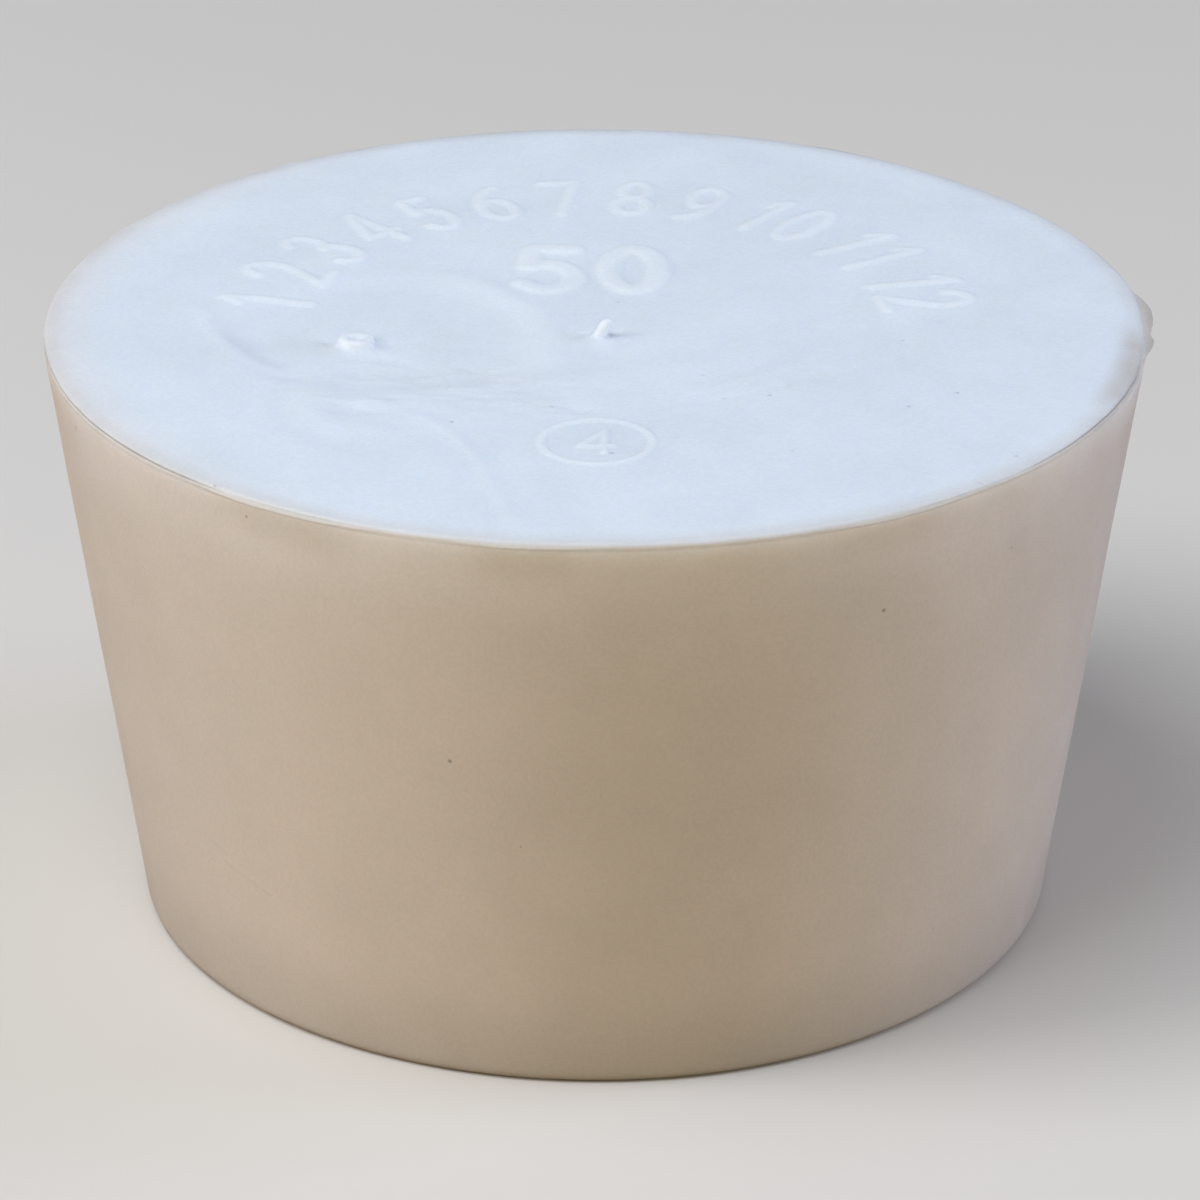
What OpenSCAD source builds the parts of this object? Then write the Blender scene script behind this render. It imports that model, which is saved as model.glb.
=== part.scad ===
// Solid tapered rubber stopper, moulded in one piece and standing on its small end.
// Millimetres, +Z up. The origin is the centre of the small end's flat face.
// The mould parts at the large face, so the flash, the gate and the vent are all up there.

/* [Plug] */
// Diameter of the large end, across its flash lip
top_d = 50; // [46:0.5:60]
// Diameter of the small end, where its face and the wall would meet in a sharp corner
base_d = 42; // [30:0.5:44]
// Height from the small face to the large face
plug_h = 27.6; // [18:0.1:40]
// Radius of the rounded edge round the small face
base_edge_r = 0.5; // [0.1:0.1:1.5]
// Radius of the trimmed edge round the large face
top_edge_r = 0.15; // [0.05:0.05:0.4]

/* [Flash] */
// How far the flash lip stands out from the wall
lip_out = 0.15; // [0.05:0.05:0.4]
// Thickness of the flash lip, down from the large face
lip_t = 0.2; // [0.1:0.05:0.5]
// How far the nick bites into the rim where the lip was torn away
nick_deep = 0.2; // [0.05:0.05:0.5]
// Height of that nick, down the wall
nick_h = 0.6; // [0.2:0.1:1.5]

/* [Insert mark] */
// Diameter of the shallow round sink that the mould's insert leaves
sink_d = 15; // [8:0.5:18]
// Depth of the sink
sink_t = 0.12; // [0.05:0.01:0.4]
// Width of its sloping wall
sink_wall = 1.2; // [0.4:0.1:2]
// Distance of the sink's centre from the plug's axis
sink_off = 9.8; // [6:0.1:12]
// Direction of the sink from the axis, in degrees from +X
sink_dir = 193; // [0:1:359]

/* [Gate stub] */
// Diameter of the gate stub that stands in the sink
gate_d = 1.8; // [1:0.1:3]
// Height of the gate stub above the sink's floor
gate_h = 0.55; // [0.3:0.05:1.5]
// Diameter of the torn pit in its top
gate_pit_d = 0.8; // [0.3:0.1:0.9]
// Depth of that pit
gate_pit_t = 0.25; // [0.05:0.05:0.25]
// Distance of the stub from the sink's centre
gate_off = 1.3; // [0:0.1:3]
// Direction of the stub from there, in degrees from +X
gate_dir = 212; // [0:1:359]
// Distance of the pit from the stub's centre
gate_pit_off = 0.3; // [0:0.05:0.4]

/* [Vent pip] */
// Diameter of the vent pip at its root
pip_root_d = 0.85; // [0.5:0.05:1.5]
// Diameter of its torn tip
pip_tip_d = 0.45; // [0.2:0.05:0.5]
// Height of the pip above the large face
pip_h = 0.95; // [0.4:0.05:2]
// Distance of the pip from the plug's axis
pip_off = 2.3; // [0:0.1:4]
// Lean of the pip away from upright
pip_lean = 12; // [0:1:20]

/* [Hidden] */
$fn = 96;

over = sink_t / 2; // how far a cutter or a root runs past the face that it crosses
body_r = top_d / 2 - lip_out; // wall radius at the large face
base_r = base_d / 2;
taper = atan((body_r - base_r) / plug_h); // lean of the wall from upright
floor_z = plug_h - sink_t;
sink_pos = sink_off * [cos(sink_dir), sin(sink_dir)];
gate_pos = sink_pos + gate_off * [cos(gate_dir), sin(gate_dir)];
gate_pit_dir = 320; // the pit is torn towards the plug's axis
gate_pit_pos = gate_pos + gate_pit_off * [cos(gate_pit_dir), sin(gate_pit_dir)];
pip_dir = 274; // direction of the pip from the axis
pip_pos = pip_off * [cos(pip_dir), sin(pip_dir)];
pip_lean_dir = 60; // direction in which it leans
root_in = 3 * lip_t; // how far the lip's root reaches in from the wall

// Stretches of rim that kept their flash: first angle, sweep, and width as a multiple of the lip's
flash_runs = [
    [-9, 5, 1.3], [-4, 2, 0.4], [-2, 9, 1.3],
    [56, 11, 2.6], [68, 80, 1],
    [-150, 22, 1], [-128, 18, 1.7], [-102, 12, 1.3], [-66, 13, 1.7]
];
// Stretch where the rim itself is nicked: first angle and sweep
nick_run = [-21, 11];

// The wall's radius at height z
function wall_r(z) = base_r + z * tan(taper);

// Half of the plug's section. Each circle touches a flat face and the wall.
module plug_section() {
    base_c = [base_r - base_edge_r * (1 - sin(taper)) / cos(taper), base_edge_r];
    top_c = [body_r - top_edge_r * (1 + sin(taper)) / cos(taper), plug_h - top_edge_r];
    out = [cos(taper), -sin(taper)]; // the wall's outward normal
    polygon([
        [0, 0], [base_c.x, 0], base_c + base_edge_r * out,
        top_c + top_edge_r * out, [top_c.x, plug_h], [0, plug_h]
    ]);
    translate(base_c) circle(base_edge_r);
    translate(top_c) circle(top_edge_r);
}

// One stretch of the lip, flush with the large face
module flash_run(first, sweep, widths) {
    rotate_extrude(angle = sweep, start = first)
        translate([body_r - root_in, plug_h - lip_t])
            square([root_in + widths * lip_out, lip_t]);
}

// The sloping cut that takes a torn stretch of rim away
module nick() {
    low_z = plug_h - nick_h;
    rotate_extrude(angle = nick_run[1], start = nick_run[0])
        polygon([
            [wall_r(low_z), low_z], [body_r - nick_deep, plug_h], [body_r - nick_deep, plug_h + over],
            [body_r + lip_out + over, plug_h + over], [body_r + lip_out + over, low_z]
        ]);
}

// The shallow round sink, cut from the large face with a sloping wall
module sink() {
    slope = sink_wall / sink_t;
    translate([sink_pos.x, sink_pos.y, floor_z])
        cylinder(h = sink_t + over, r1 = sink_d / 2 - sink_wall, r2 = sink_d / 2 + slope * over);
}

// The gate stub with the pit where the runner tore off
module gate_stub() {
    difference() {
        translate([gate_pos.x, gate_pos.y, floor_z - over])
            cylinder(h = gate_h + over, d = gate_d);
        translate([gate_pit_pos.x, gate_pit_pos.y, floor_z + gate_h - gate_pit_t])
            cylinder(h = gate_pit_t + over, d = gate_pit_d);
    }
}

// The leaning pip that the vent leaves
module vent_pip() {
    translate([pip_pos.x, pip_pos.y, plug_h])
        rotate([0, 0, pip_lean_dir])
            rotate([0, pip_lean, 0])
                translate([0, 0, -pip_root_d / 4])
                    cylinder(h = pip_h / cos(pip_lean) + pip_root_d / 4, d1 = pip_root_d, d2 = pip_tip_d);
}

module stopper() {
    color([0.86, 0.87, 0.88]) {
        difference() {
            union() {
                rotate_extrude() plug_section();
                for (run = flash_runs) flash_run(run[0], run[1], run[2]);
            }
            nick();
            sink();
        }
        gate_stub();
        vent_pip();
    }
}

stopper();
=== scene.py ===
import math
import random
import bpy
import bmesh
from mathutils import Matrix, Vector, noise
from mathutils.geometry import delaunay_2d_cdt
from mathutils.kdtree import KDTree


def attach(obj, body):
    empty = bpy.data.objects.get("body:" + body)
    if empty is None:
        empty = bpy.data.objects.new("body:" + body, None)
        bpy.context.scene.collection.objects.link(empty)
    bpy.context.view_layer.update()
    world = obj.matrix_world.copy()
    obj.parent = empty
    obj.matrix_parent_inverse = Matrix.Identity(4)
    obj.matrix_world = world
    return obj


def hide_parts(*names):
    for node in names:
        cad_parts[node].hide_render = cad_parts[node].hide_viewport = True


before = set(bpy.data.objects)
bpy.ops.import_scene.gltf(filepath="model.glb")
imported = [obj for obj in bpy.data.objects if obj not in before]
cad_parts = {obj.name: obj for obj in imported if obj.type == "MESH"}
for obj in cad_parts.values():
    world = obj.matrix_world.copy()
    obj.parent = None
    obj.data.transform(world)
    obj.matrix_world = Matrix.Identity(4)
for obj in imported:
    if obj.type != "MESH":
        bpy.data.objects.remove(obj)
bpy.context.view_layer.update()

scene = bpy.context.scene
mm = 0.001   # lengths below are written in millimetres, Blender works in metres
print("frame loaded:", sorted(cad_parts))


# helpers for node trees

def addNode(tree, kind, wires=None, **settings):
    made = tree.nodes.new(kind)
    for key, value in settings.items():
        setattr(made, key, value)
    for key, value in (wires or {}).items():
        socket = made.inputs[key]
        if isinstance(value, bpy.types.NodeSocket):
            tree.links.new(value, socket)
        else:
            socket.default_value = value
    return made


def addMath(tree, operation, first, second=0.0):
    return addNode(tree, "ShaderNodeMath", {0: first, 1: second}, operation=operation).outputs[0]


def addVector(tree, operation, first, second=(0, 0, 0)):
    made = addNode(tree, "ShaderNodeVectorMath", {0: first, 1: second}, operation=operation)
    return made.outputs["Value" if operation in ("DISTANCE", "DOT_PRODUCT") else "Vector"]


def newShapeTree(name, sockets):
    tree = bpy.data.node_groups.new(name, "GeometryNodeTree")
    face = tree.interface
    face.new_socket("Geometry", in_out="INPUT", socket_type="NodeSocketGeometry")
    for label, kind in sockets:
        face.new_socket(label, in_out="INPUT", socket_type="NodeSocket" + kind)
    face.new_socket("Geometry", in_out="OUTPUT", socket_type="NodeSocketGeometry")
    return tree, addNode(tree, "NodeGroupInput").outputs


def closeShapeTree(tree, inputs, geometry):
    # every tree ends the same way: nothing left as an instance, and one material
    real = addNode(tree, "GeometryNodeRealizeInstances", {"Geometry": geometry}).outputs[0]
    coated = addNode(tree, "GeometryNodeSetMaterial", {"Geometry": real, "Material": inputs["Material"]})
    addNode(tree, "NodeGroupOutput", {"Geometry": coated.outputs[0]})


def addShape(piece, tree, values):
    # inputs are set by identifier, before the piece is evaluated for the first time
    modifier = piece.modifiers.new(tree.name, "NODES")
    modifier.node_group = tree
    for item in tree.interface.items_tree:
        if item.item_type == "SOCKET" and item.in_out == "INPUT" and item.name in values:
            modifier[item.identifier] = values[item.name]


def meshObject(name, verts, edges=(), faces=()):
    mesh = bpy.data.meshes.new(name)
    mesh.from_pydata([Vector(v) * mm for v in verts], edges, faces)
    made = bpy.data.objects.new(name, mesh)
    scene.collection.objects.link(made)
    return made


def bakeShape(piece):
    graph = bpy.context.evaluated_depsgraph_get()
    result = bpy.data.meshes.new_from_object(piece.evaluated_get(graph), depsgraph=graph)
    piece.modifiers.clear()
    piece.data = result
    # joining leaves an empty material slot in front
    while len(result.materials) > 1 and result.materials[0] is None:
        result.materials.pop(index=0)


# white rubber

rubber = {
    "wallCreamAndWarmBounce": (0.775, 0.694, 0.591),     # the wall, a touch creamier than the face, with warm bounced light painted in
    "faceWhiteAndCoolLight": (0.745, 0.80, 0.86),       # the large face, with cool light from above painted in
    "rimPaintedLightTint": (0.98, 0.965, 0.94),        # painted light on the wall just under the rim, brighter as if lit through the rounded edge
    "shadeAndPatchTint": (0.575, 0.555, 0.525),     # painted shade beside the tab, along the face's edge and up the lumps, and darker patches on the face
    "raisedPaleAndLit": (0.85, 0.885, 0.915),    # raised figures, paler: partly rubbed, partly a painted highlight
    "flashGreyAndShade": (0.57, 0.495, 0.43),      # thin flash at the rim, darker: partly its own thin rubber, partly painted shade
    "foot": 0.84, "footHigh": 6.0,         # shade of the wall at the table, and how high it reaches
    "mottle": 0.03, "mottleScale": 190.0,  # cloudy patches a few millimetres across
    "fleck": 0.02, "fleckScale": 5600.0,   # flecks a tenth of one across
    "speckAndShadeTint": (0.2, 0.18, 0.165), "soiledAndShaded": 0.6,      # grains of dirt and the painted shade in the crease, and how much they cover
    "looseScale": 330.0, "looseFew": 0.93,               # loose grains: cells, and the share left empty
    "roughness": (0.46, 0.62), "softScale": 420.0, "softShare": 0.8,
    "grain": 0.09, "grainScale": 4600.0, "grainDeep": 0.2,      # fine moulded grain
    "ior": 1.5, "specular": 0.35,
    "scatter": 0.8, "scatterDeep": 1.9, "scatterTint": (1.0, 0.88, 0.78),
    # soiled spots on the wall: angle round the plug, height, radius, strength
    "wallSpots": [(-156.7, 26.3, 0.1, 0.3), (-126.4, 26.6, 0.07, 0.5), (-42.8, 23.7, 0.08, 0.6),
                  (-41.8, 24.0, 0.9, 0.045), (-98.0, 12.4, 0.06, 0.35)],
    # fine scratches on the wall: angle and height at both ends, width, strength
    "scratches": [(-137.7, 7.7, -130.3, 7.0, 0.05, 0.1), (-141.0, 8.6, -137.0, 8.2, 0.04, 0.07)],
}


def onWall(angle, z):
    radius = plug["baseR"] + (plug["faceR"] - plug["baseR"]) * z / plug["height"]
    a = math.radians(angle)
    return Vector((radius * math.cos(a), radius * math.sin(a), z)) * mm


def makeRubber():
    material = bpy.data.materials.new("whiteRubber")
    material.use_nodes = True
    tree = material.node_tree
    tree.nodes.clear()
    coords = addNode(tree, "ShaderNodeTexCoord").outputs
    place = coords["Object"]

    def share(name):
        return addNode(tree, "ShaderNodeAttribute", attribute_name=name).outputs["Fac"]

    def fading(away, radius, strength):
        return addNode(tree, "ShaderNodeMapRange", {
            "Value": away, "From Min": radius * mm * 0.4, "From Max": radius * mm * 1.5,
            "To Min": strength, "To Max": 0.0
        }, interpolation_type="SMOOTHSTEP").outputs[0]

    # the face and the wall age to slightly different whites, with cool top light and warm bounce painted in,
    # and the thin flash lets less light back, partly painted shade; painted light under the rim, painted
    # shade and a painted highlight on raised parts go on top
    base = (*rubber["wallCreamAndWarmBounce"], 1)
    for name, tint in (("rimPaintedLight", "rimPaintedLightTint"), ("faceShare", "faceWhiteAndCoolLight"), ("shadeAndPatches", "shadeAndPatchTint"),
                       ("raised", "raisedPaleAndLit"), ("thin", "flashGreyAndShade")):
        base = addNode(tree, "ShaderNodeMix", {
            "Factor": share(name), "A": base, "B": (*rubber[tint], 1)
        }, data_type="RGBA").outputs["Result"]

    # cloudy patches, flecks, and painted shade darkening the foot near the table
    cloud = addNode(tree, "ShaderNodeTexNoise",
                    {"Vector": place, "Scale": rubber["mottleScale"], "Detail": 4.0, "Roughness": 0.55})
    shade = addNode(tree, "ShaderNodeMapRange", {
        "Value": cloud.outputs["Fac"], "From Min": 0.3, "From Max": 0.7,
        "To Min": 1 - rubber["mottle"], "To Max": 1 + rubber["mottle"]
    })
    fleck = addNode(tree, "ShaderNodeTexNoise",
                    {"Vector": place, "Scale": rubber["fleckScale"], "Detail": 1.0, "Roughness": 0.6})
    tiny = addNode(tree, "ShaderNodeMapRange", {
        "Value": fleck.outputs["Fac"], "From Min": 0.35, "From Max": 0.65,
        "To Min": 1 - rubber["fleck"], "To Max": 1 + rubber["fleck"]
    })
    # painted shade: the wall darker towards the table
    foot = addNode(tree, "ShaderNodeMapRange", {
        "Value": addNode(tree, "ShaderNodeSeparateXYZ", {0: place}).outputs["Z"], "From Min": 0.0,
        "From Max": rubber["footHigh"] * mm, "To Min": rubber["foot"], "To Max": 1.0
    }, interpolation_type="SMOOTHSTEP")
    shades = addMath(tree, "MULTIPLY", shade.outputs[0], tiny.outputs[0])
    shades = addMath(tree, "MULTIPLY", shades, foot.outputs[0])
    clouded = addNode(tree, "ShaderNodeVectorMath", {0: base, "Scale": shades}, operation="SCALE")

    # a few dark grains of dirt, one in every so many cells, and those that have a place of their own; painted
    # shade along the crease under the rim comes in with them
    cells = addNode(tree, "ShaderNodeTexVoronoi",
                    {"Vector": place, "Scale": rubber["looseScale"], "Randomness": 1.0})
    near = addNode(tree, "ShaderNodeMapRange", {
        "Value": cells.outputs["Distance"], "From Min": 0.02, "From Max": 0.05, "To Min": 1.0, "To Max": 0.0
    }, interpolation_type="SMOOTHSTEP")
    pick = addNode(tree, "ShaderNodeSeparateXYZ", {0: cells.outputs["Color"]}).outputs["X"]
    chosen = addMath(tree, "GREATER_THAN", pick, rubber["looseFew"])
    loose = addMath(tree, "MULTIPLY", near.outputs[0], chosen)
    dirtAndShade = addMath(tree, "MULTIPLY", addMath(tree, "MAXIMUM", loose, share("specksAndCreaseShade")), rubber["soiledAndShaded"])
    for angle, z, radius, strength in rubber["wallSpots"]:
        away = addVector(tree, "DISTANCE", place, onWall(angle, z))
        dirtAndShade = addMath(tree, "MAXIMUM", dirtAndShade, fading(away, radius, strength))
    for angle0, z0, angle1, z1, radius, strength in rubber["scratches"]:
        start, end = onWall(angle0, z0), onWall(angle1, z1)
        # nearest point of the scratch: its start, plus a share of the way along
        run = end - start
        fromStart = addVector(tree, "SUBTRACT", place, start)
        along = addVector(tree, "DOT_PRODUCT", fromStart, run / run.length_squared)
        along = addNode(tree, "ShaderNodeClamp", {0: along}).outputs[0]
        nearest = addNode(tree, "ShaderNodeVectorMath", {0: run, "Scale": along}, operation="SCALE")
        away = addVector(tree, "DISTANCE", place, addVector(tree, "ADD", nearest.outputs[0], start))
        dirtAndShade = addMath(tree, "MAXIMUM", dirtAndShade, fading(away, radius, strength))
    dirtyAndShaded = addNode(tree, "ShaderNodeMix", {
        "Factor": dirtAndShade, "A": clouded.outputs[0], "B": (*rubber["speckAndShadeTint"], 1)
    }, data_type="RGBA")

    # fine matt grain of the mould's steel, over a softer unevenness
    grain = addNode(tree, "ShaderNodeTexNoise",
                    {"Vector": place, "Scale": rubber["grainScale"], "Detail": 2.0, "Roughness": 0.6})
    soft = addNode(tree, "ShaderNodeTexNoise",
                   {"Vector": place, "Scale": rubber["softScale"], "Detail": 3.0, "Roughness": 0.5})
    softHeight = addMath(tree, "MULTIPLY", soft.outputs["Fac"], rubber["softShare"])
    bump = addNode(tree, "ShaderNodeBump", {
        "Strength": rubber["grain"], "Distance": rubber["grainDeep"] * mm,
        "Height": addMath(tree, "ADD", softHeight, grain.outputs["Fac"])
    })
    low, high = rubber["roughness"]
    rough = addNode(tree, "ShaderNodeMapRange", {
        "Value": soft.outputs["Fac"], "From Min": 0.3, "From Max": 0.7, "To Min": low, "To Max": high
    })

    shader = addNode(tree, "ShaderNodeBsdfPrincipled", {
        "Base Color": dirtyAndShaded.outputs["Result"], "Roughness": rough.outputs[0], "Normal": bump.outputs[0]
    })
    shader.inputs["IOR"].default_value = rubber["ior"]
    shader.inputs["Specular IOR Level"].default_value = rubber["specular"]
    shader.inputs["Subsurface Weight"].default_value = rubber["scatter"]
    shader.inputs["Subsurface Radius"].default_value = rubber["scatterTint"]
    shader.inputs["Subsurface Scale"].default_value = rubber["scatterDeep"] * mm
    addNode(tree, "ShaderNodeOutputMaterial", {"Surface": shader.outputs[0]})
    return material


# the plug: a section turned round, with a rim that changes along the way

plug = {
    "height": 27.6, "faceR": 24.83, "baseR": 21.0, "baseEdge": 0.5,
    "around": 1080, "wallRows": 14, "edgeRows": 7,
    "innerR": 24.0,                        # where the face's own fine mesh ends
    "baseRing": 19.6,                      # where the flat base becomes one face
    "lean": (-0.03, 0.05),                 # the large face sits a hair off the small one
    "wallWave": 0.03, "wavePitch": 7.0,    # unevenness of the wall
    "faceRow": (24.3, 0.6),                # a row of the flat face, and how far it moves with the edge
    "wallTop": 0.42, "baseRow": 0.25,      # first plain row of the wall, and the one round the flat base
    # the rounded edge and the lip: distance in from the wall's line, depth, then how far the row moves
    # with the flash, with the face's edge and with the crease
    "rimRows": [
        (0.26, 0.0, 0, 0.95, 0), (0.19, 0.008, 0, 1, 0), (0.13, 0.03, 0, 1, 0), (0.08, 0.063, 0, 1, 0),
        (0.055, 0.09, 0, 1, 0.5), (0.035, 0.115, 0, 1, 1), (0.02, 0.14, 0.05, 1, 0.5),
        (0.012, 0.16, 0.5, 1, 0), (0.006, 0.18, 0.92, 1, 0), (0.002, 0.21, 1, 1, 0),
        (0.0, 0.255, 0.9, 1, 0), (0.0, 0.32, 0.3, 0.6, 0)],
}
# what changes along the rim, as stretches of (angle, amount); between stretches there is none
rim = {
    # how far the flash sticks out
    "flash": [[(-10, 0), (-8.4, 0.08), (-6.8, 0.25), (-5.4, 0.41), (-4.1, 0.47), (-3.1, 0.38), (-2.4, 0.32),
               (-1.9, 0.37), (-1.4, 0.33), (-0.5, 0.43), (1.2, 0.54), (3.8, 0.49), (6.0, 0.33), (7.6, 0.12),
               (8.8, 0)],
              [(53, 0), (56, 0.2), (60, 0.34), (64.5, 0.38), (66.5, 0.1), (69, 0)],
              [(66, 0), (72, 0.1), (146, 0.1), (152, 0)], [(-132, 0), (-127, 0.1), (-118, 0.07), (-112, 0)],
              [(-104, 0), (-99, 0.09), (-94, 0.07), (-90, 0)],
              [(-68, 0), (-62, 0.08), (-56, 0.1), (-50, 0)], [(-48, 0), (-43, 0.05), (-38, 0)]],
    # how far the face's own edge draws in
    "inset": [[(-34, 0), (-26, -0.06), (-18, -0.14), (-11, -0.17), (-6, -0.16), (1, -0.12), (5, -0.05),
               (8, 0)],
              [(-176, 0), (-168, -0.03), (-160, -0.03), (-152, 0)],
              [(10, 0), (26, -0.04), (48, -0.06), (54, 0)]],
    # depth of the parting line under that edge
    "crease": [[(-176, 0), (-172, 0.1), (-160, 0.08), (-146, 0.1), (-136, 0.09), (-128, 0.02), (-118, 0.03),
                (-108, 0)],
               [(-62, 0), (-54, 0.03), (-44, 0.02), (-36, 0.08), (-26, 0.1), (-15, 0.11), (-10, 0.05),
                (-7, 0)]],
    # how far the flash hangs down
    "sag": [[(-132, 0), (-126, 0.08), (-119, 0.06), (-112, 0)], [(-105, 0), (-99, 0.05), (-90, 0)],
            [(-67, 0), (-60, 0.07), (-53, 0.05), (-46, 0)],
            [(-9.5, 0), (-7, -0.08), (-2, -0.1), (4, -0.09), (10, 0)]],
    "ragged": 0.03, "pitch": 22.0, "seed": 3.0,      # small tears along all of it
}


rubberWhite = makeRubber()
print("rubber made")


def smooth(t):
    t = min(max(t, 0.0), 1.0)
    return t * t * (3 - 2 * t)


def alongRim(name, angle):
    amount = 0.0
    for stretch in rim[name]:
        turn = stretch[0][0] + (angle - stretch[0][0]) % 360
        for (a0, v0), (a1, v1) in zip(stretch, stretch[1:]):
            if a0 <= turn < a1:
                amount += v0 + (v1 - v0) * (turn - a0) / (a1 - a0)
    a = math.radians(angle)
    torn = 0.0
    for pitch, share in ((rim["pitch"], 1.0), (3 * rim["pitch"], 0.6)):
        spot = Vector((pitch * math.cos(a), pitch * math.sin(a), rim["seed"] + len(name)))
        torn += share * noise.noise(spot)
    return amount + rim["ragged"] * torn * (0.2 + min(1.0, 6 * abs(amount)))


def plugSection():
    # rows from the face's fine mesh to the flat base: radius, height, then the three shares of rimRows
    top, edge = plug["height"], plug["faceR"]
    slope = (edge - plug["baseR"]) / top
    faceRowR, faceRowShare = plug["faceRow"]
    rows = [(plug["innerR"], top, 0, 0, 0), (faceRowR, top, 0, faceRowShare, 0)]
    for inset, depth, *shares in plug["rimRows"]:
        rows.append((edge - slope * depth - inset, top - depth, *shares))
    tilt = math.atan(slope)
    baseRound = plug["baseEdge"]
    centre = plug["baseR"] - baseRound * (1 - math.sin(tilt)) / math.cos(tilt)
    first, last = top - plug["wallTop"], baseRound * (1 - math.sin(tilt)) + plug["baseRow"]
    for i in range(plug["wallRows"] + 1):
        z = first + (last - first) * i / plug["wallRows"]
        rows.append((plug["baseR"] + slope * z, z, 0, 0, 0))
    for i in range(plug["edgeRows"] + 1):
        a = -tilt - (math.pi / 2 - tilt) * i / plug["edgeRows"]
        rows.append((centre + baseRound * math.cos(a), baseRound + baseRound * math.sin(a), 0, 0, 0))
    rows += [(centre - plug["baseRow"], 0, 0, 0, 0), (plug["baseRing"], 0, 0, 0, 0)]
    return rows


def giveNumbers(mesh, name, values):
    layer = mesh.attributes.get(name) or mesh.attributes.new(name, "FLOAT", "POINT")
    layer.data.foreach_set("value", values)


# raised marks on the large face, as centre lines of their strokes

marks = {
    "dial": {"count": 12, "radius": 13.1, "high": 4.0, "wide": 1.65, "gap": 0.5,
             "firstAngle": 176, "lastAngle": 4, "stroke": 0.52, "raise": 0.095, "slope": 0.44},
    "size": {"figures": "50", "centre": (-0.2, 3.3), "high": 5.0, "wide": 2.6, "gap": 1.3,
             "stroke": 0.98, "raise": 0.14, "slope": 0.55},
    "ring": {"figures": "4", "centre": (0.05, -14.2), "radius": 2.4, "high": 2.3, "wide": 1.4, "gap": 0.3,
             "stroke": 0.34, "raise": 0.08, "slope": 0.18},
}


def bend(cx, cy, rx, ry, start, end, steps=14):
    spots = []
    for i in range(steps + 1):
        a = math.radians(start + (end - start) * i / steps)
        spots.append((cx + rx * math.cos(a), cy + ry * math.sin(a)))
    return spots


# plain figures in a box one high and about 0.6 wide
figures = {
    "0": [bend(0.3, 0.5, 0.27, 0.5, 0, 360, 28)],
    "1": [[(0.12, 0.8), (0.32, 1), (0.32, 0)]],
    "2": [bend(0.3, 0.72, 0.27, 0.28, 165, -38) + [(0.03, 0), (0.58, 0)]],
    "3": [bend(0.28, 0.75, 0.25, 0.25, 150, -80) + bend(0.28, 0.27, 0.29, 0.27, 80, -150)],
    "4": [[(0.44, 0), (0.44, 1), (0.0, 0.3), (0.6, 0.3)]],
    "5": [[(0.54, 1), (0.12, 1), (0.08, 0.57)] + bend(0.28, 0.31, 0.29, 0.31, 125, -150)],
    "6": [bend(0.3, 0.29, 0.27, 0.29, 0, 360, 24), bend(0.62, 0.3, 0.59, 0.7, 103, 180)],
    "7": [[(0.0, 1), (0.58, 1), (0.2, 0)]],
    "8": [bend(0.3, 0.76, 0.22, 0.24, 0, 360, 22), bend(0.3, 0.26, 0.27, 0.26, 0, 360, 24)],
    "9": [bend(0.3, 0.71, 0.27, 0.29, 0, 360, 24), bend(-0.02, 0.7, 0.59, 0.7, -77, 0)],
}


def textLines(text, mark):
    # strokes of a number, centred left to right on zero, standing on zero
    pitch = mark["wide"] + mark["gap"]
    left = -(len(text) * pitch - mark["gap"]) / 2
    lines = []
    for i, letter in enumerate(text):
        for line in figures[letter]:
            lines.append([(left + i * pitch + x * mark["wide"] / 0.6, y * mark["high"]) for x, y in line])
    return lines


def dialLines(mark):
    texts = [str(i + 1) for i in range(mark["count"])]
    middleR = mark["radius"] + mark["high"] / 2
    widths = [len(t) * (mark["wide"] + mark["gap"]) for t in texts]
    spare = math.radians(mark["firstAngle"] - mark["lastAngle"]) * middleR - sum(widths)
    lines, along = [], 0.0
    for text, width in zip(texts, widths):
        angle = math.radians(mark["firstAngle"]) - (along + width / 2) / middleR
        out = Vector((math.cos(angle), math.sin(angle)))
        right = Vector((out.y, -out.x))
        for line in textLines(text, mark):
            lines.append([tuple(out * (mark["radius"] + y) + right * x) for x, y in line])
        along += width + spare / (len(texts) - 1)
    return lines


def sizeLines(mark):
    cx, cy = mark["centre"]
    return [[(cx + x, cy + y) for x, y in line] for line in textLines(mark["figures"], mark)]


def ringLines(mark):
    cx, cy = mark["centre"]
    foot = cy - mark["high"] / 2
    lines = [bend(cx, cy, mark["radius"], mark["radius"], 0, 360, 40)]
    for line in textLines(mark["figures"], mark):
        lines.append([(cx + x, foot + y) for x, y in line])
    return lines


def wireObject(name, lines):
    verts, edges = [], []
    for line in lines:
        first = len(verts)
        verts += [(x, y, plug["height"]) for x, y in line]
        edges += [(i, i + 1) for i in range(first, len(verts) - 1)]
    return meshObject(name, verts, edges)


markLines = {
    "dial": dialLines(marks["dial"]),
    "size": sizeLines(marks["size"]),
    "ring": ringLines(marks["ring"]),
}
markWires = {name: wireObject(name + "Lines", lines) for name, lines in markLines.items()}
print("marks drawn:", {name: len(lines) for name, lines in markLines.items()})


# what the mould and the hand left on the large face

sink = {"centre": (-9.55, -2.2), "radius": 7.5, "wall": 2.0, "deep": 0.16}
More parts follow.
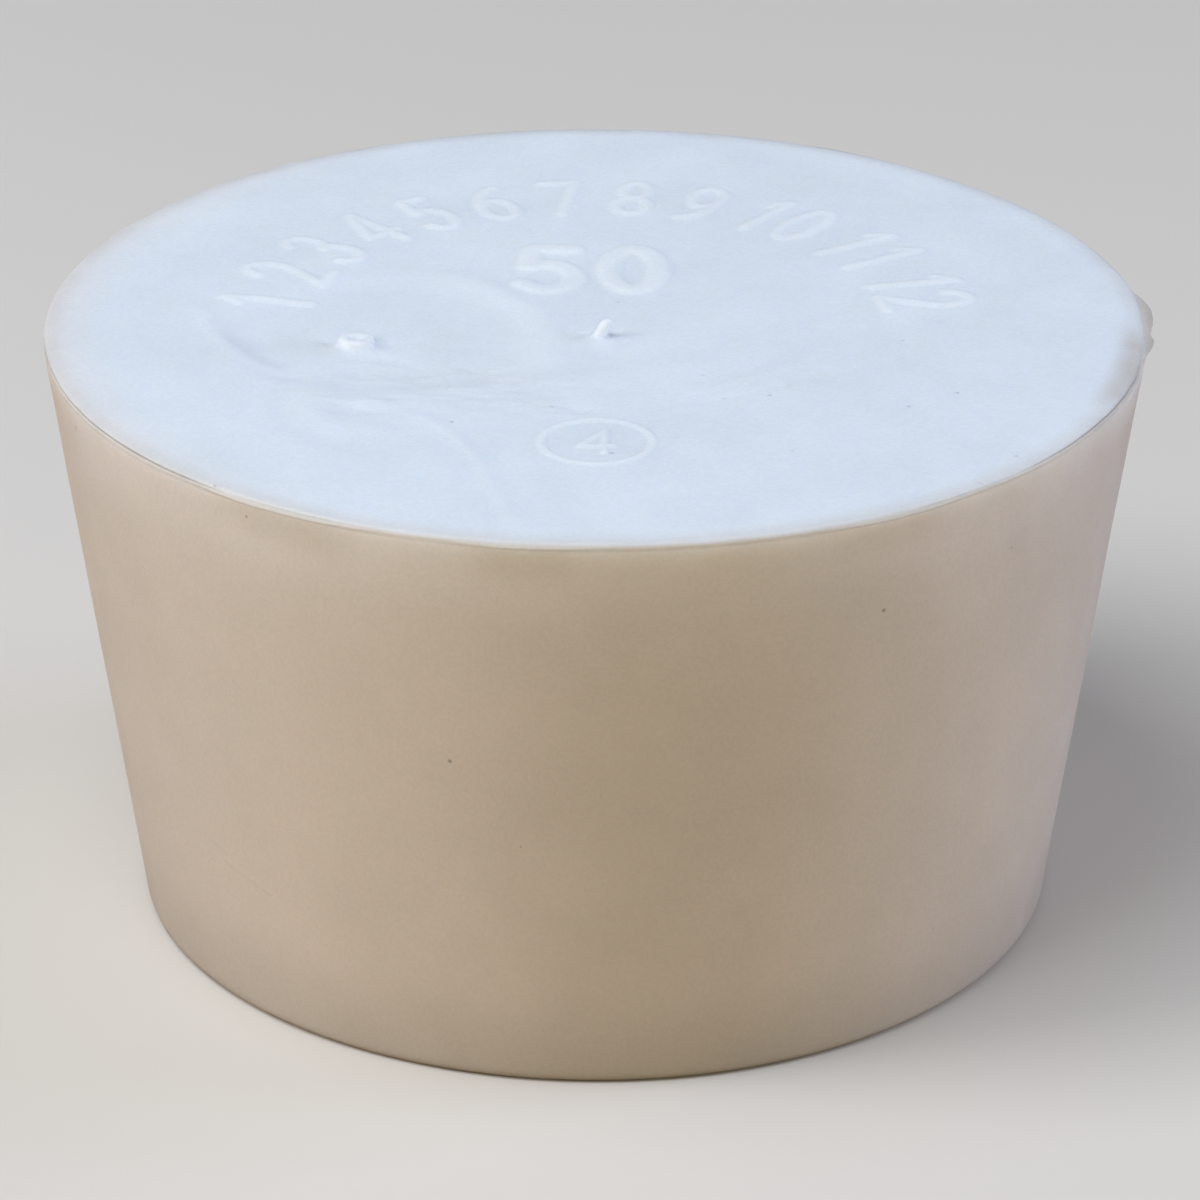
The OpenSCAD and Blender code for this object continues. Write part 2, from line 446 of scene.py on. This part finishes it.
# turned lumps: rings of (share of reach, radius, height), from the face up to the middle
gate = {
    "centre": (-10.65, -2.9), "reach": 1.3, "around": 40, "wobble": 0.07, "lean": (0.0, 0.0),
    "rings": [(1.0, 1.3, 0.0), (0.9, 1.0, 0.012), (0.82, 0.88, 0.055), (0.77, 0.84, 0.14),
              (0.72, 0.82, 0.24), (0.67, 0.79, 0.33), (0.61, 0.73, 0.39), (0.53, 0.63, 0.42),
              (0.45, 0.53, 0.435), (0.37, 0.44, 0.44), (0.29, 0.34, 0.44), (0.21, 0.25, 0.44),
              (0.13, 0.15, 0.44), (0.0, 0.0, 0.44)],
    "slot": [(-10.75, -3.05), (-10.3, -3.1), (-9.5, -2.95)], "slotWide": 0.23, "slotDeep": 0.3,
}
pip = {
    "centre": (0.14, -2.3), "reach": 0.68, "around": 28, "wobble": 0.05, "lean": (0.5, 0.08),
    "rings": [(1.0, 0.68, 0.0), (0.9, 0.5, 0.015), (0.82, 0.38, 0.05), (0.75, 0.32, 0.13),
              (0.68, 0.3, 0.22), (0.61, 0.29, 0.32), (0.54, 0.285, 0.43), (0.47, 0.28, 0.53),
              (0.4, 0.27, 0.62), (0.33, 0.24, 0.7), (0.26, 0.2, 0.76), (0.18, 0.15, 0.79),
              (0.1, 0.08, 0.81), (0.0, 0.0, 0.815)],
}
# soft ridges (+) and grooves (-): height, width, then points
folds = [
    (-0.06, 1.1, [(-16.4, 0.6), (-16.2, -1.4), (-15.4, -3.2), (-13.9, -4.9)]),
    (0.074, 0.7, [(-17.8, 0.6), (-17.2, -1.8), (-16.0, -3.9), (-14.2, -6.0)]),
    (0.09, 1.2, [(-6.4, 5.0), (-4.5, 3.2), (-2.9, 0.7), (-2.1, -1.9), (-1.8, -4.6)]),
    (0.06, 0.55, [(-7.7, -11.2), (-6.3, -13.0), (-5.0, -16.2), (-4.2, -19.4), (-3.6, -22.2)]),
    (0.042, 1.6, [(-8.6, -11.0), (-7.6, -13.8), (-6.8, -17.0), (-6.4, -20.0)]),
    (0.045, 1.3, [(-2.1, -7.2), (1.0, -6.7), (3.9, -5.9), (6.6, -4.5), (8.6, -2.6)]),
    (0.035, 0.5, [(4.2, -8.6), (7.0, -7.0), (9.2, -5.2), (10.6, -3.2)]),
    (-0.035, 0.5, [(4.6, -9.8), (7.8, -8.2), (10.2, -6.2), (11.6, -3.9)]),
    (-0.032, 0.4, [(13.6, -2.4), (13.9, -6.0), (13.7, -10.4)]),
    (-0.053, 1.0, [(-13.4, -7.2), (-14.0, -9.6), (-13.2, -12.6), (-11.0, -14.2)]),
    (0.053, 0.9, [(-12.2, -8.4), (-12.5, -10.4), (-11.4, -12.2), (-9.6, -12.7)]),
    (-0.042, 0.8, [(-11.0, -9.2), (-10.8, -10.6), (-9.4, -11.0)]),
]
streaks = {"count": 52, "left": -13.6, "right": -0.4, "near": -11.0, "far": -4.6, "long": (0.6, 3.4),
           "wide": (0.15, 0.5), "high": 0.046, "tilt": (-26, 12), "seed": 11}
# shallow dents: x, y, radius, depth
dents = [(-4.9, -7.0, 1.2, 0.09), (-7.6, -7.1, 1.5, 0.07), (-6.1, -9.6, 0.8, 0.05), (-1.9, -9.0, 0.8, 0.04),
         (-10.4, -6.6, 0.9, 0.05), (-3.2, -8.3, 0.7, 0.05), (-8.9, -9.2, 0.7, 0.04),
         (-12.0, -2.5, 0.4, 0.09), (-9.25, -2.8, 0.35, 0.09), (0.95, -1.7, 0.35, 0.07),
         (-0.6, -2.0, 0.3, 0.06)]
swell = {"high": 0.03, "pitch": 5.5}       # broad unevenness of the whole face
# the face falls off a little at its edge, and rolls over beside the torn tab
shoulder = {"start": 23.2, "drop": 0.05,
            "softDir": -12, "softSweep": 24, "softStart": 22.4, "softDrop": 0.34}
# painted shade, and darker patches of the face; a run is a start and a width
shadeAndPatchAreas = {
    "tabDir": -13, "tabSweep": 15, "tabRun": (23.1, 1.15),                 # painted shade beside the tab
    "edge": 0.6, "edgeRun": (23.3, 1.6), "edgeRise": 1.5,                  # painted shade all round the face's edge
    "edgeDeep": 0.3, "edgeFade": 0.2,                                      # and a little way down the wall
    "lump": 0.12, "lumpHigh": 0.25,                                        # painted shade up the gate stub and vent pip
    # darker patches of the face: x, y, reach along x and y, strength
    "patches": [(-6.0, -6.8, 6.6, 1.7, 0.1), (-13.0, -3.0, 2.0, 1.9, 0.1), (-8.6, -2.4, 5.6, 3.4, 0.05),
                (8.2, -7.6, 4.0, 1.1, 0.05)],
    "cloud": 0.2, "cloudPitch": 1.7,       # unevenness of all of it
}
# how the tints, painted light and painted shade run into each other
tintRun = {
    "faceDeep": 0.2,                       # how far the face's tint reaches over the edge
    "faceWorn": 0.3, "wornOut": (21.5, 3.3), "wornLeft": (7.75, 15.5),
    "rimFade": 2.0, "rimStart": 0.65,      # the painted light of the rim on the wall below it
    "rimEndRight": (20.5, 4), "rimEndLeft": (22, 2),
    "raised": 0.34, "raisedHigh": 0.09, "thinOut": 0.25, "creaseShadeDeep": 0.08,
}
# grains of dirt on the face: x, y, strength
specks = [(1.0, 1.9, 0.5), (13.7, -2.6, 0.5), (15.8, -8.7, 0.9), (13.6, -10.2, 0.7), (7.6, -9.0, 0.8),
          (5.6, -9.3, 0.4), (4.7, -6.8, 0.35), (-6.2, -12.0, 1.0), (-1.9, -10.2, 0.6), (3.5, -13.7, 0.3),
          (8.4, -15.1, 0.4), (0.7, -15.4, 0.8), (-16.0, -18.8, 0.9), (12.8, -20.8, 0.6),
          (16.2, -18.4, 0.4), (17.9, -15.6, 0.5), (13.2, -21.7, 0.6)]
speckR = 0.085


def makeStreaks():
    draw = random.Random(streaks["seed"])
    made = []
    for i in range(streaks["count"]):
        x = draw.uniform(streaks["left"], streaks["right"])
        y = draw.uniform(streaks["near"], streaks["far"])
        a = math.radians(draw.uniform(*streaks["tilt"]))
        half = draw.uniform(*streaks["long"]) / 2
        sag = draw.uniform(-0.15, 0.15) * half
        line = [(x - half * math.cos(a), y - half * math.sin(a)), (x + sag * math.sin(a), y + sag),
                (x + half * math.cos(a), y + half * math.sin(a))]
        high = streaks["high"] * draw.choice((-1, 1)) * draw.uniform(0.4, 1)
        made.append((high, draw.uniform(*streaks["wide"]), line))
    return made


def lineDistance(x, y, line):
    best = 1e9
    for (ax, ay), (bx, by) in zip(line, line[1:]):
        dx, dy = bx - ax, by - ay
        t = min(max(((x - ax) * dx + (y - ay) * dy) / (dx * dx + dy * dy), 0.0), 1.0)
        best = min(best, math.hypot(x - ax - t * dx, y - ay - t * dy))
    return best


def withReach(lines):
    # each line with the box beyond which it changes nothing
    boxed = []
    for high, wide, line in lines:
        far = 2.2 * wide
        xs, ys = [p[0] for p in line], [p[1] for p in line]
        boxed.append((high, wide, line, min(xs) - far, max(xs) + far, min(ys) - far, max(ys) + far))
    return boxed


flowLines = withReach(folds + makeStreaks())


def turnedFrom(x, y, direction):
    # degrees between a point's own direction and another
    return abs((math.degrees(math.atan2(y, x)) - direction + 180) % 360 - 180)


def faceRelief(x, y):
    # height of the large face over its plane, marks and lumps apart
    radius = math.hypot(x, y)
    edge = smooth((radius - shoulder["start"]) / (plug["faceR"] - shoulder["start"]))
    far = (radius - shoulder["softStart"]) / (plug["faceR"] - shoulder["softStart"])
    droop = smooth(1 - turnedFrom(x, y, shoulder["softDir"]) / shoulder["softSweep"]) * max(0.0, far)
    z = -shoulder["drop"] * edge * edge - shoulder["softDrop"] * droop ** 2
    fromSink = math.hypot(x - sink["centre"][0], y - sink["centre"][1])
    z -= sink["deep"] * smooth((sink["radius"] - fromSink) / sink["wall"])
    for high, wide, line, left, right, near, far in flowLines:
        if left < x < right and near < y < far:
            away = lineDistance(x, y, line) / wide
            z += high * math.exp(-away * away * 2)
    for dx, dy, wide, deep in dents:
        away = math.hypot(x - dx, y - dy) / wide
        if away < 2.5:
            z -= deep * math.exp(-away * away * 1.5)
    z += swell["high"] * noise.noise(Vector((x, y, 9.0)) / swell["pitch"])
    return z


def turnedLump(x, y, lump):
    # where a point of the flat disc goes on a lump turned over it: new x, new y, height
    cx, cy = lump["centre"]
    away = math.hypot(x - cx, y - cy)
    share = away / lump["reach"]
    if share >= 1:
        return x, y, 0.0
    for (s0, r0, z0), (s1, r1, z1) in zip(lump["rings"], lump["rings"][1:]):
        if share >= s1:
            t = (share - s1) / (s0 - s1)
            radius, z = r1 + (r0 - r1) * t, z1 + (z0 - z1) * t
            break
    if away > 1e-6:
        nx, ny = (x - cx) / away, (y - cy) / away
        radius *= 1 + lump["wobble"] * noise.noise(Vector((nx * 1.3, ny * 1.3, cx))) * smooth(z / 0.1)
    else:
        nx = ny = 0.0
    x, y = cx + nx * radius, cy + ny * radius
    if "slot" in lump:
        torn = smooth(1.5 - lineDistance(x, y, lump["slot"]) / lump["slotWide"])
        z -= lump["slotDeep"] * torn * smooth(z / 0.5)
    return x + lump["lean"][0] * z, y + lump["lean"][1] * z, z


# the large face starts as a flat disc whose triangles get smaller where there is something to show

faceMesh = {
    "coarse": 3.2, "widest": 0.42,         # cells to start from, and the largest that may stay
    "fineCell": 0.1, "foldCell": 0.2, "edgeCell": 0.13,      # cells at the marks, the folds and the edge
    "reach": 0.42, "growth": 0.45, "edgeGrowth": 0.4,        # how soon they grow away from those
    "lumpClear": 0.04, "shake": 0.16, "seed": 5,
}


def placesTree(spots):
    tree = KDTree(len(spots))
    for i, (x, y) in enumerate(spots):
        tree.insert((x, y, 0), i)
    tree.balance()
    return tree


def alongLine(line, step):
    spots = []
    for (ax, ay), (bx, by) in zip(line, line[1:]):
        count = max(1, int(math.hypot(bx - ax, by - ay) / step))
        spots += [(ax + (bx - ax) * i / count, ay + (by - ay) * i / count) for i in range(count + 1)]
    return spots


def finePlaces():
    spots = [(x, y) for x, y, strength in specks]
    for lines in markLines.values():
        for line in lines:
            spots += alongLine(line, 0.2)
    for lump in (gate, pip):
        spots += bend(*lump["centre"], lump["reach"], lump["reach"], 0, 360, 24)
    return placesTree(spots)


def foldPlaces():
    spots = [(x, y) for x, y, wide, deep in dents]
    for high, wide, line, *box in flowLines:
        if abs(high) / wide > 0.03:
            spots += alongLine(line, 0.3)
    return placesTree(spots)


def ringSpots(cx, cy, radius, count, turn=0.0):
    return [Vector((cx + radius * math.cos(a), cy + radius * math.sin(a)))
            for a in (2 * math.pi * (i + turn) / count for i in range(count))]


def makeFaceBlank():
    near, folded = finePlaces(), foldPlaces()
    draw = random.Random(faceMesh["seed"])
    inner = plug["innerR"]
    spots = ringSpots(0, 0, inner, plug["around"])
    for lump in (gate, pip):
        spots.append(Vector(lump["centre"]))
        for i, (share, radius, z) in enumerate(lump["rings"][:-1]):
            count = max(8, round(lump["around"] * share ** 0.6))
            spots += ringSpots(*lump["centre"], share * lump["reach"], count, 0.5 * (i % 2))
    half = faceMesh["coarse"] / 2
    steps = int(inner / faceMesh["coarse"]) + 1
    cells = [((i + 0.5) * 2 * half, (j + 0.5) * 2 * half, half)
             for i in range(-steps, steps) for j in range(-steps, steps)]
    while cells:
        x, y, half = cells.pop()
        radius = math.hypot(x, y)
        if radius > inner + half * 1.5:
            continue
        fromMark = max(0.0, near.find((x, y, 0))[2] - half - faceMesh["reach"])
        fromFold = max(0.0, folded.find((x, y, 0))[2] - half - faceMesh["reach"])
        wanted = min(faceMesh["fineCell"] + faceMesh["growth"] * fromMark,
                     faceMesh["foldCell"] + faceMesh["growth"] * fromFold, faceMesh["widest"],
                     faceMesh["edgeCell"] + faceMesh["edgeGrowth"] * max(0.0, inner - radius - half))
        if 2 * half > wanted * 1.01:
            half /= 2
            cells += [(x - half, y - half, half), (x + half, y - half, half),
                      (x - half, y + half, half), (x + half, y + half, half)]
        elif radius < inner - half * 1.2:
            shake = faceMesh["shake"] * half
            spot = Vector((x + draw.uniform(-shake, shake), y + draw.uniform(-shake, shake)))
            if all((spot - Vector(lump["centre"])).length > lump["reach"] + faceMesh["lumpClear"]
                   for lump in (gate, pip)):
                spots.append(spot)
    flat, _, faces, *_ = delaunay_2d_cdt(spots, [], [], 0, 1e-6, False)
    return meshObject("faceBlank", [(v.x, v.y, plug["height"]) for v in flat], (), faces)


faceBlank = makeFaceBlank()
print("face blank:", len(faceBlank.data.polygons), "triangles")

rows = plugSection()
pathR = 20.0      # any radius does: the section is drawn from here outwards
# the swept section hangs downwards, so heights are written as minus
mouldedStopper = meshObject("mouldedStopper", [(row[0] - pathR, -row[1], 0) for row in rows],
                            [(i, i + 1) for i in range(len(rows) - 1)])
for column, name in ((2, "lipShare"), (3, "edgeShare"), (4, "creaseShare")):
    giveNumbers(mouldedStopper.data, name, [row[column] for row in rows])
turns = [360 * i / plug["around"] for i in range(plug["around"])]
rimPath = meshObject("rimPath", [(pathR * math.cos(math.radians(a)), pathR * math.sin(math.radians(a)), 0)
                                 for a in turns], [(i, (i + 1) % len(turns)) for i in range(len(turns))])
for name in ("flash", "inset", "crease", "sag"):
    giveNumbers(rimPath.data, name, [alongRim(name, a) * mm for a in turns])


def makeSpinTree():
    tree, inputs = newShapeTree("spinPlug", [
        ("Rim Path", "Object"), ("Face", "Object"), ("Around", "Int"), ("Base Ring", "Float"),
        ("Height", "Float"), ("Lean", "Vector"), ("Material", "Material")])

    def named(name):
        return addNode(tree, "GeometryNodeInputNamedAttribute", {"Name": name}, data_type="FLOAT").outputs[0]

    path = addNode(tree, "GeometryNodeObjectInfo", {"Object": inputs["Rim Path"]}).outputs["Geometry"]
    path = addNode(tree, "GeometryNodeMeshToCurve", {"Mesh": path}).outputs[0]
    path = addNode(tree, "GeometryNodeSetCurveNormal", {"Curve": path}, mode="Z_UP").outputs[0]
    section = addNode(tree, "GeometryNodeMeshToCurve", {"Mesh": inputs["Geometry"]}).outputs[0]
    wall = addNode(tree, "GeometryNodeCurveToMesh", {"Curve": path, "Profile Curve": section}).outputs[0]

    # along the rim the flash, the face's edge and the crease each move their own rows
    place = addNode(tree, "GeometryNodeInputPosition").outputs[0]
    out = addVector(tree, "NORMALIZE", addVector(tree, "MULTIPLY", place, (1, 1, 0)))
    push = addMath(tree, "MULTIPLY", named("flash"), named("lipShare"))
    push = addMath(tree, "ADD", push, addMath(tree, "MULTIPLY", named("inset"), named("edgeShare")))
    push = addMath(tree, "SUBTRACT", push, addMath(tree, "MULTIPLY", named("crease"), named("creaseShare")))
    push = addNode(tree, "ShaderNodeVectorMath", {0: out, "Scale": push}, operation="SCALE").outputs[0]
    hang = addMath(tree, "MULTIPLY", addMath(tree, "MULTIPLY", named("sag"), named("lipShare")), -1.0)
    hang = addNode(tree, "ShaderNodeCombineXYZ", {"Z": hang}).outputs[0]
    wall = addNode(tree, "GeometryNodeSetPosition",
                   {"Geometry": wall, "Offset": addVector(tree, "ADD", push, hang)}).outputs[0]

    base = addNode(tree, "GeometryNodeMeshCircle",
                   {"Vertices": inputs["Around"], "Radius": inputs["Base Ring"]}, fill_type="NGON").outputs[0]
    face = addNode(tree, "GeometryNodeObjectInfo", {"Object": inputs["Face"]}).outputs["Geometry"]
    whole = addNode(tree, "GeometryNodeJoinGeometry")
    for part in (wall, base, face):
        tree.links.new(part, whole.inputs[0])
    whole = addNode(tree, "GeometryNodeMergeByDistance", {"Geometry": whole.outputs[0], "Distance": 0.000002})

    # a slight lean carries the large face off centre
    height = addNode(tree, "ShaderNodeSeparateXYZ", {0: place}).outputs["Z"]
    share = addMath(tree, "DIVIDE", height, inputs["Height"])
    lean = addNode(tree, "ShaderNodeVectorMath", {0: inputs["Lean"], "Scale": share}, operation="SCALE")
    leant = addNode(tree, "GeometryNodeSetPosition",
                    {"Geometry": whole.outputs[0], "Offset": lean.outputs[0]})
    shaded = addNode(tree, "GeometryNodeSetShadeSmooth", {"Geometry": leant.outputs[0]})
    closeShapeTree(tree, inputs, shaded.outputs[0])
    return tree


def makeRaiseTree():
    tree, inputs = newShapeTree("raiseMarks", [
        ("Lines", "Object"), ("Face Height", "Float"), ("Stroke", "Float"), ("Raise", "Float"),
        ("Slope", "Float"), ("Material", "Material")])
    lines = addNode(tree, "GeometryNodeObjectInfo", {"Object": inputs["Lines"]}).outputs["Geometry"]
    place = addNode(tree, "GeometryNodeInputPosition").outputs[0]
    # height counts for nothing in the distance, so overlapping marks don't climb on each other
    flat = addVector(tree, "ADD", addVector(tree, "MULTIPLY", place, (1, 1, 0)),
                     addNode(tree, "ShaderNodeCombineXYZ", {"Z": inputs["Face Height"]}).outputs[0])
    near = addNode(tree, "GeometryNodeProximity", {0: lines, "Sample Position": flat}, target_element="EDGES")
    middle = addMath(tree, "MULTIPLY", inputs["Stroke"], 0.5)
    spread = addMath(tree, "MULTIPLY", inputs["Slope"], 0.5)
    rise = addNode(tree, "ShaderNodeMapRange", {
        "Value": near.outputs["Distance"], "From Min": addMath(tree, "SUBTRACT", middle, spread),
        "From Max": addMath(tree, "ADD", middle, spread), "To Min": inputs["Raise"], "To Max": 0.0
    }, interpolation_type="SMOOTHSTEP").outputs[0]
    height = addNode(tree, "ShaderNodeSeparateXYZ", {0: place}).outputs["Z"]
    onFace = addMath(tree, "GREATER_THAN", height, addMath(tree, "SUBTRACT", inputs["Face Height"], 0.000005))
    offset = addNode(tree, "ShaderNodeCombineXYZ", {"Z": addMath(tree, "MULTIPLY", rise, onFace)}).outputs[0]
    raised = addNode(tree, "GeometryNodeSetPosition", {"Geometry": inputs["Geometry"], "Offset": offset})
    closeShapeTree(tree, inputs, raised.outputs[0])
    return tree


addShape(mouldedStopper, makeSpinTree(), {
    "Rim Path": rimPath, "Face": faceBlank, "Around": plug["around"], "Base Ring": plug["baseRing"] * mm,
    "Height": plug["height"] * mm, "Lean": (*(move * mm for move in plug["lean"]), 0),
    "Material": rubberWhite})
raiseTree = makeRaiseTree()
for name, wire in markWires.items():
    addShape(mouldedStopper, raiseTree, {
        "Lines": wire, "Face Height": plug["height"] * mm, "Stroke": marks[name]["stroke"] * mm,
        "Raise": marks[name]["raise"] * mm, "Slope": marks[name]["slope"] * mm, "Material": rubberWhite})
bakeShape(mouldedStopper)
for helper in (rimPath, faceBlank, *markWires.values()):
    bpy.data.objects.remove(helper)
print("plug spun:", len(mouldedStopper.data.polygons), "faces")


def fade(value, run):
    start, wide = run
    return smooth((value - start) / wide)


def faceShareAt(x, radius, down):
    # the face's tint, which holds painted cool top light, reaches a little way over the edge, and is worn
    # thinner at the left
    worn = tintRun["faceWorn"] * fade(radius, tintRun["wornOut"]) * fade(-x, tintRun["wornLeft"])
    return smooth(1.1 - down / tintRun["faceDeep"]) * (1 - worn)


# painted light: the wall just under the rim made paler, fading downwards and towards the right and left
def rimPaintedLightAt(x, down):
    ends = fade(x, tintRun["rimEndRight"]) + fade(-x, tintRun["rimEndLeft"])
    return math.exp(-down / tintRun["rimFade"]) * smooth(down / tintRun["rimStart"]) * (1 - ends)


# painted shade beside the tab and round the face's edge, and darker patches of the face
def shadeAndPatchShareAt(x, y, radius, down, faceShare):
    sweep = smooth(1.6 * (1 - turnedFrom(x, y, shadeAndPatchAreas["tabDir"]) / shadeAndPatchAreas["tabSweep"]))
    onTop = fade(radius, shadeAndPatchAreas["tabRun"]) * sweep
    for patchX, patchY, wide, deep, amount in shadeAndPatchAreas["patches"]:
        away = math.hypot((x - patchX) / wide, (y - patchY) / deep)
        onTop = max(onTop, amount * smooth(1.3 - away))
    edge = shadeAndPatchAreas["edge"] * fade(radius, shadeAndPatchAreas["edgeRun"]) ** shadeAndPatchAreas["edgeRise"]
    edge *= smooth((shadeAndPatchAreas["edgeDeep"] + shadeAndPatchAreas["edgeFade"] - down) / shadeAndPatchAreas["edgeFade"])
    cloud = noise.noise(Vector((x, 2 * y, 4.0)) / shadeAndPatchAreas["cloudPitch"])
    return min(1.0, max(onTop * faceShare, edge) * (0.94 + shadeAndPatchAreas["cloud"] * cloud))


def speckShareAt(x, y):
    return max(amount * smooth(1.5 - math.hypot(x - speckX, y - speckY) / speckR)
               for speckX, speckY, amount in specks)


def workTheSurface(mesh):
    # sink, lumps, folds and dents on the face, a slight wave down the wall, and where the tints, painted
    # light and painted shade go
    def rimMove(amount, share):
        pairs = zip(mesh.attributes[amount].data, mesh.attributes[share].data)
        return [a.value * b.value / mm for a, b in pairs]

    top = plug["height"]
    crease, flash = rimMove("crease", "creaseShare"), rimMove("flash", "lipShare")
    shares = {name: [] for name in ("faceShare", "rimPaintedLight", "specksAndCreaseShade", "shadeAndPatches", "raised")}
    for vert, deep in zip(mesh.vertices, crease):
        x, y, z = (c / mm for c in vert.co)
        radius, down = math.hypot(x, y), top - z
        faceShare = faceShareAt(x, radius, down)
        shadeAndPatches = shadeAndPatchShareAt(x, y, radius, down, faceShare)
        # painted shade in the crease under the rim, darker where it is deeper
        specksAndCreaseShade = smooth(deep / tintRun["creaseShadeDeep"])
        shares["faceShare"].append(faceShare)
        shares["rimPaintedLight"].append(rimPaintedLightAt(x, down))
        # raised parts paler, partly rubbed, partly a painted highlight on their tops
        shares["raised"].append(tintRun["raised"] * smooth(-down / tintRun["raisedHigh"]))
        # the face's relief runs out a little way down the wall
        onFace = smooth((0.6 - down) / 0.4)
        if onFace > 0:
            if down < 0.05:
                specksAndCreaseShade = max(specksAndCreaseShade, speckShareAt(x, y))
            relief = faceRelief(x, y)
            if radius < plug["innerR"]:
                for lump in (gate, pip):
                    x, y, rise = turnedLump(x, y, lump)
                    z += rise
                    # painted shade, deeper higher up the lump
                    shadeAndPatches = max(shadeAndPatches, shadeAndPatchAreas["lump"] * smooth(rise / shadeAndPatchAreas["lumpHigh"]))
            z += onFace * relief
        radius = math.hypot(x, y)
        if 0.3 < z < top - 0.3 and radius > plug["baseRing"]:
            wave = plug["wallWave"] * noise.noise(Vector((x, y, z * 1.4)) / plug["wavePitch"])
            x, y = x * (1 + wave / radius), y * (1 + wave / radius)
        vert.co = Vector((x, y, z)) * mm
        shares["shadeAndPatches"].append(shadeAndPatches)
        shares["specksAndCreaseShade"].append(specksAndCreaseShade)
    for name, values in shares.items():
        giveNumbers(mesh, name, values)
    # the thin flash darker, partly its own thin rubber, partly painted shade
    giveNumbers(mesh, "thin", [smooth(max(0.0, out) / tintRun["thinOut"]) for out in flash])


def closeAndTurnOut(mesh):
    work = bmesh.new()
    work.from_mesh(mesh)
    bmesh.ops.recalc_face_normals(work, faces=work.faces)
    openEdges = sum(1 for edge in work.edges if not edge.is_manifold)
    work.to_mesh(mesh)
    work.free()
    return openEdges


workTheSurface(mouldedStopper.data)
print("surface worked, open edges:", closeAndTurnOut(mouldedStopper.data))

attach(mouldedStopper, "root")
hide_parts("stopper")


# floor, lamps and camera

stage = {
    "floorWide": 3.0,
    "floorSeen": (0.74, 0.70, 0.64),       # as the camera sees it
    "floorBounce": (0.30, 0.225, 0.145),   # warmer in the light it throws back
    "skyTint": (1.0, 1.0, 1.0), "sky": 0.17,
    # name: place, width, height, power in watts, colour; all aim at the middle of the plug
    "lamps": {
        "window": ((-0.16, -0.12, 0.44), 0.3, 0.3, 1.41, (0.815, 0.914, 1.0)),
        "left": ((-0.74, -0.14, 0.42), 0.4, 0.3, 2.7, (1.0, 0.912, 0.957)),
        "right": ((0.72, 0.1, 0.25), 0.4, 0.4, 3.08, (0.648, 0.728, 1.0)),
        "front": ((0.1, -0.8, 0.16), 0.6, 0.2, 1.2, (1.0, 0.847, 0.57)),
    },
}


def aimed(place, target, roll=0.0):
    forward = (Vector(target) - Vector(place)).normalized()
    turned = forward.to_track_quat("-Z", "Y").to_matrix().to_4x4()
    return Matrix.Translation(place) @ turned @ Matrix.Rotation(math.radians(roll), 4, "Z")


def addFloor():
    half = stage["floorWide"] / 2 / mm
    corners = [(-half, -half, 0), (half, -half, 0), (half, half, 0), (-half, half, 0)]
    floor = meshObject("floor", corners, (), [(0, 1, 2, 3)])
    material = bpy.data.materials.new("floorPaper")
    material.use_nodes = True
    tree = material.node_tree
    shader = tree.nodes["Principled BSDF"]
    seen = addNode(tree, "ShaderNodeLightPath").outputs["Is Camera Ray"]
    tint = addNode(tree, "ShaderNodeMix", {
        "Factor": seen, "A": (*stage["floorBounce"], 1), "B": (*stage["floorSeen"], 1)
    }, data_type="RGBA")
    tree.links.new(tint.outputs["Result"], shader.inputs["Base Color"])
    shader.inputs["Roughness"].default_value = 0.85
    shader.inputs["Specular IOR Level"].default_value = 0.2
    floor.data.materials.append(material)


def addLamps():
    for name, (place, wide, high, power, tint) in stage["lamps"].items():
        lamp = bpy.data.lights.new(name, "AREA")
        lamp.shape = "RECTANGLE"
        lamp.size, lamp.size_y = wide, high
        lamp.energy = power
        lamp.color = tint
        holder = bpy.data.objects.new(name, lamp)
        holder.matrix_world = aimed(place, (0, 0, plug["height"] * mm / 2))
        scene.collection.objects.link(holder)
    world = bpy.data.worlds.new("studio")
    world.use_nodes = True
    sky = world.node_tree.nodes["Background"]
    sky.inputs["Color"].default_value = (*stage["skyTint"], 1)
    sky.inputs["Strength"].default_value = stage["sky"]
    scene.world = world


camera = {"place": (0, -235.36, 122.86), "target": (0.217, 0, 13.562), "roll": 0.1345, "lens": 168.86}


def addCamera():
    lens = bpy.data.cameras.new("camera")
    lens.lens = camera["lens"]
    lens.sensor_width = 36
    holder = bpy.data.objects.new("camera", lens)
    holder.matrix_world = aimed(Vector(camera["place"]) * mm, Vector(camera["target"]) * mm, camera["roll"])
    scene.collection.objects.link(holder)
    scene.camera = holder


addFloor()
addLamps()
addCamera()
scene.view_settings.view_transform = "Standard"
print("stage set")
